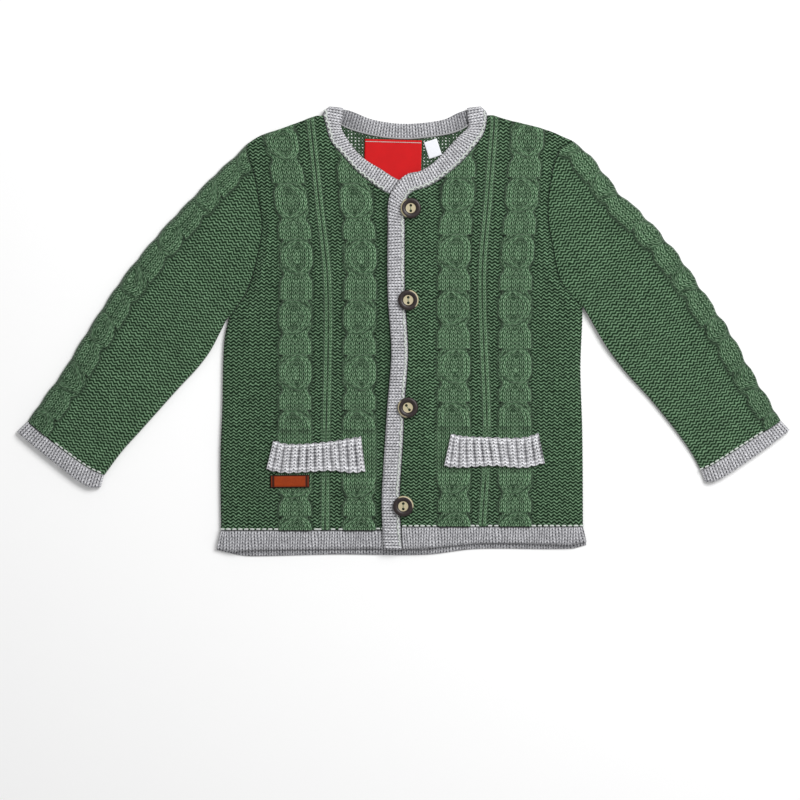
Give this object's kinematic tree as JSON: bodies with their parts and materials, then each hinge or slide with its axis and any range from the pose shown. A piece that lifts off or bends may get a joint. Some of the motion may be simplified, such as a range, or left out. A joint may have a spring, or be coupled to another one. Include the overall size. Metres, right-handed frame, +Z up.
{
  "type": "trachten cardigan",
  "caption": "Child's knitted cardigan in green with cabled fronts and sleeves, grey edge bands, ribbed pocket welts and a buttoned front, laid flat.",
  "frame": {"origin": "middle of the cardigan's outline, on the surface that it lies on", "axes": "+X along the span of the sleeves, towards the viewer's right; +Y towards the neck; +Z up, out of the front"},
  "size_m": [0.6187, 0.3598, 0.012],
  "materials": {
    "knit_green": "melange wool and cotton knit, purl ground with knit cables",
    "band_grey": "grey melange jersey, doubled",
    "patch_leather": "tan leather with a burnt border, bare",
    "label_red": "woven red label, bare",
    "tag_white": "woven white size tag, bare",
    "button_horn": "dark horn look with a pale sunk middle"
  },
  "bodies": {
    "root": {"front_left": "knit_green", "front_right": "knit_green", "back": "knit_green", "sleeve_left": "knit_green", "sleeve_right": "knit_green", "cuff_left": "band_grey", "cuff_right": "band_grey", "edge_band_left": "band_grey", "edge_band_right": "band_grey", "neckband_back": "band_grey", "hem_left": "band_grey", "hem_right": "band_grey", "hem_back": "band_grey", "pocket_welt_left": "band_grey", "pocket_welt_right": "band_grey", "hem_patch": "patch_leather", "neck_label": "label_red", "size_tag": "tag_white", "button_1": "button_horn", "button_2": "button_horn", "button_3": "button_horn", "button_4": "button_horn"}
  },
  "joints": []
}
